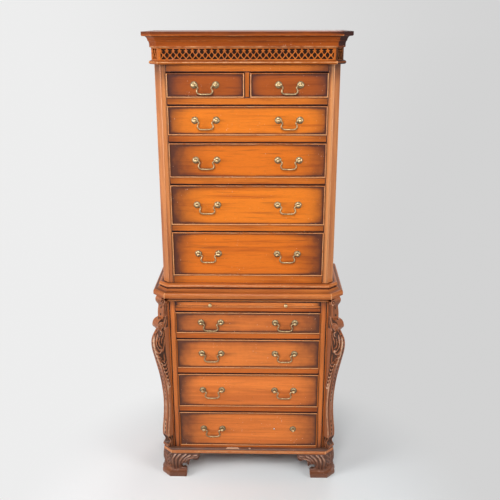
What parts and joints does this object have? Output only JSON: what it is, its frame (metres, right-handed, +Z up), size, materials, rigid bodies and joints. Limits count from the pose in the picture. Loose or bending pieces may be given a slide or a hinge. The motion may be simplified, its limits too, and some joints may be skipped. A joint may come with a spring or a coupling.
{
  "type": "chest-on-chest",
  "caption": "Tall mahogany chest-on-chest with canted corners, pierced frieze, scrolled corner brackets, brushing slide, bracket feet and brass swan-neck handles.",
  "frame": {"origin": "middle of the outline on the floor, under the four feet", "axes": "+Z up, the drawer fronts face -Y, +X to the right of someone facing the drawers"},
  "size_m": [0.7538, 0.3618, 1.764],
  "materials": {
    "show_wood": "polished reddish mahogany, darkened at edges",
    "carved_wood": "carved mahogany with dark polish in the hollows",
    "drawer_wood": "polished mahogany fronts on plain oak boxes",
    "back_wood": "plain unpolished boards",
    "brass": "aged, dull in the hollows"
  },
  "bodies": {
    "carcase": {"upper_sides": "show_wood", "upper_corner_posts": "show_wood", "upper_end_boards": "show_wood", "upper_back_panel": "back_wood", "upper_front_rails": "show_wood", "upper_runners": "back_wood", "cornice": "show_wood", "fret_frieze": "carved_wood", "frieze_bead": "show_wood", "waist_moulding": "show_wood", "lower_end_boards": "show_wood", "lower_sides": "show_wood", "lower_corner_posts": "show_wood", "lower_back_panel": "back_wood", "lower_front_rails": "show_wood", "lower_runners": "back_wood", "left_scroll_corner": "carved_wood", "right_scroll_corner": "carved_wood", "base_moulding": "show_wood", "front_feet": "carved_wood", "back_feet": "back_wood"},
    "brushing_slide": {"slide_board": "show_wood", "slide_knobs": "brass"},
    "upper_drawer_4": {"upper_drawer_4": "drawer_wood", "upper_drawer_4_bolts": "brass"},
    "upper_drawer_4_left_bail": {"upper_drawer_4_left_bail": "brass"},
    "upper_drawer_4_right_bail": {"upper_drawer_4_right_bail": "brass"},
    "upper_drawer_3": {"upper_drawer_3": "drawer_wood", "upper_drawer_3_bolts": "brass"},
    "upper_drawer_3_left_bail": {"upper_drawer_3_left_bail": "brass"},
    "upper_drawer_3_right_bail": {"upper_drawer_3_right_bail": "brass"},
    "upper_drawer_2": {"upper_drawer_2": "drawer_wood", "upper_drawer_2_bolts": "brass"},
    "upper_drawer_2_left_bail": {"upper_drawer_2_left_bail": "brass"},
    "upper_drawer_2_right_bail": {"upper_drawer_2_right_bail": "brass"},
    "upper_drawer_1": {"upper_drawer_1": "drawer_wood", "upper_drawer_1_bolts": "brass"},
    "upper_drawer_1_left_bail": {"upper_drawer_1_left_bail": "brass"},
    "upper_drawer_1_right_bail": {"upper_drawer_1_right_bail": "brass"},
    "short_drawer_left": {"short_drawer_left": "drawer_wood", "short_drawer_left_bolts": "brass"},
    "short_drawer_left_bail": {"short_drawer_left_bail": "brass"},
    "short_drawer_right": {"short_drawer_right": "drawer_wood", "short_drawer_right_bolts": "brass"},
    "short_drawer_right_bail": {"short_drawer_right_bail": "brass"},
    "lower_drawer_4": {"lower_drawer_4": "drawer_wood", "lower_drawer_4_bolts": "brass"},
    "lower_drawer_4_left_bail": {"lower_drawer_4_left_bail": "brass"},
    "lower_drawer_3": {"lower_drawer_3": "drawer_wood", "lower_drawer_3_bolts": "brass"},
    "lower_drawer_3_left_bail": {"lower_drawer_3_left_bail": "brass"},
    "lower_drawer_3_right_bail": {"lower_drawer_3_right_bail": "brass"},
    "lower_drawer_2": {"lower_drawer_2": "drawer_wood", "lower_drawer_2_bolts": "brass"},
    "lower_drawer_2_left_bail": {"lower_drawer_2_left_bail": "brass"},
    "lower_drawer_2_right_bail": {"lower_drawer_2_right_bail": "brass"},
    "lower_drawer_1": {"lower_drawer_1": "drawer_wood", "lower_drawer_1_bolts": "brass"},
    "lower_drawer_1_left_bail": {"lower_drawer_1_left_bail": "brass"},
    "lower_drawer_1_right_bail": {"lower_drawer_1_right_bail": "brass"}
  },
  "joints": [
    {"name": "brushing_slide_pull", "type": "slide", "parent": "carcase", "child": "brushing_slide", "axis": [0, -1, 0], "range_m": [0, 0.22]},
    {"name": "upper_drawer_4_pull", "type": "slide", "parent": "carcase", "child": "upper_drawer_4", "axis": [0, -1, 0], "range_m": [0, 0.22]},
    {"name": "upper_drawer_4_left_bail_swing", "type": "hinge", "parent": "upper_drawer_4", "child": "upper_drawer_4_left_bail", "pos_m": [-0.1485, -0.13457, 0.96275], "axis": [-1, 0, 0], "range_deg": [-15, 165]},
    {"name": "upper_drawer_4_right_bail_swing", "type": "hinge", "parent": "upper_drawer_4", "child": "upper_drawer_4_right_bail", "pos_m": [0.1485, -0.13457, 0.96275], "axis": [-1, 0, 0], "range_deg": [-15, 165]},
    {"name": "upper_drawer_3_pull", "type": "slide", "parent": "carcase", "child": "upper_drawer_3", "axis": [0, -1, 0], "range_m": [0, 0.22]},
    {"name": "upper_drawer_3_left_bail_swing", "type": "hinge", "parent": "upper_drawer_3", "child": "upper_drawer_3_left_bail", "pos_m": [-0.1485, -0.13457, 1.153], "axis": [-1, 0, 0], "range_deg": [-15, 165]},
    {"name": "upper_drawer_3_right_bail_swing", "type": "hinge", "parent": "upper_drawer_3", "child": "upper_drawer_3_right_bail", "pos_m": [0.1485, -0.13457, 1.153], "axis": [-1, 0, 0], "range_deg": [-15, 165]},
    {"name": "upper_drawer_2_pull", "type": "slide", "parent": "carcase", "child": "upper_drawer_2", "axis": [0, -1, 0], "range_m": [0, 0.22]},
    {"name": "upper_drawer_2_left_bail_swing", "type": "hinge", "parent": "upper_drawer_2", "child": "upper_drawer_2_left_bail", "pos_m": [-0.1485, -0.13457, 1.31975], "axis": [-1, 0, 0], "range_deg": [-15, 165]},
    {"name": "upper_drawer_2_right_bail_swing", "type": "hinge", "parent": "upper_drawer_2", "child": "upper_drawer_2_right_bail", "pos_m": [0.1485, -0.13457, 1.31975], "axis": [-1, 0, 0], "range_deg": [-15, 165]},
    {"name": "upper_drawer_1_pull", "type": "slide", "parent": "carcase", "child": "upper_drawer_1", "axis": [0, -1, 0], "range_m": [0, 0.22]},
    {"name": "upper_drawer_1_left_bail_swing", "type": "hinge", "parent": "upper_drawer_1", "child": "upper_drawer_1_left_bail", "pos_m": [-0.1485, -0.13457, 1.46275], "axis": [-1, 0, 0], "range_deg": [-15, 165]},
    {"name": "upper_drawer_1_right_bail_swing", "type": "hinge", "parent": "upper_drawer_1", "child": "upper_drawer_1_right_bail", "pos_m": [0.1485, -0.13457, 1.46275], "axis": [-1, 0, 0], "range_deg": [-15, 165]},
    {"name": "short_drawer_left_pull", "type": "slide", "parent": "carcase", "child": "short_drawer_left", "axis": [0, -1, 0], "range_m": [0, 0.22]},
    {"name": "short_drawer_left_bail_swing", "type": "hinge", "parent": "short_drawer_left", "child": "short_drawer_left_bail", "pos_m": [-0.1485, -0.13457, 1.58525], "axis": [-1, 0, 0], "range_deg": [-15, 165]},
    {"name": "short_drawer_right_pull", "type": "slide", "parent": "carcase", "child": "short_drawer_right", "axis": [0, -1, 0], "range_m": [0, 0.22]},
    {"name": "short_drawer_right_bail_swing", "type": "hinge", "parent": "short_drawer_right", "child": "short_drawer_right_bail", "pos_m": [0.1485, -0.13457, 1.58525], "axis": [-1, 0, 0], "range_deg": [-15, 165]},
    {"name": "lower_drawer_4_pull", "type": "slide", "parent": "carcase", "child": "lower_drawer_4", "axis": [0, -1, 0], "range_m": [0, 0.24]},
    {"name": "lower_drawer_4_left_bail_swing", "type": "hinge", "parent": "lower_drawer_4", "child": "lower_drawer_4_left_bail", "pos_m": [-0.1438, -0.15457, 0.21425], "axis": [-1, 0, 0], "range_deg": [-15, 165]},
    {"name": "lower_drawer_3_pull", "type": "slide", "parent": "carcase", "child": "lower_drawer_3", "axis": [0, -1, 0], "range_m": [0, 0.24]},
    {"name": "lower_drawer_3_left_bail_swing", "type": "hinge", "parent": "lower_drawer_3", "child": "lower_drawer_3_left_bail", "pos_m": [-0.1438, -0.15457, 0.39225], "axis": [-1, 0, 0], "range_deg": [-15, 165]},
    {"name": "lower_drawer_3_right_bail_swing", "type": "hinge", "parent": "lower_drawer_3", "child": "lower_drawer_3_right_bail", "pos_m": [0.1438, -0.15457, 0.39225], "axis": [-1, 0, 0], "range_deg": [-15, 165]},
    {"name": "lower_drawer_2_pull", "type": "slide", "parent": "carcase", "child": "lower_drawer_2", "axis": [0, -1, 0], "range_m": [0, 0.24]},
    {"name": "lower_drawer_2_left_bail_swing", "type": "hinge", "parent": "lower_drawer_2", "child": "lower_drawer_2_left_bail", "pos_m": [-0.1438, -0.15457, 0.55475], "axis": [-1, 0, 0], "range_deg": [-15, 165]},
    {"name": "lower_drawer_2_right_bail_swing", "type": "hinge", "parent": "lower_drawer_2", "child": "lower_drawer_2_right_bail", "pos_m": [0.1438, -0.15457, 0.55475], "axis": [-1, 0, 0], "range_deg": [-15, 165]},
    {"name": "lower_drawer_1_pull", "type": "slide", "parent": "carcase", "child": "lower_drawer_1", "axis": [0, -1, 0], "range_m": [0, 0.24]},
    {"name": "lower_drawer_1_left_bail_swing", "type": "hinge", "parent": "lower_drawer_1", "child": "lower_drawer_1_left_bail", "pos_m": [-0.1438, -0.15457, 0.688], "axis": [-1, 0, 0], "range_deg": [-15, 165]},
    {"name": "lower_drawer_1_right_bail_swing", "type": "hinge", "parent": "lower_drawer_1", "child": "lower_drawer_1_right_bail", "pos_m": [0.1438, -0.15457, 0.688], "axis": [-1, 0, 0], "range_deg": [-15, 165]}
  ]
}
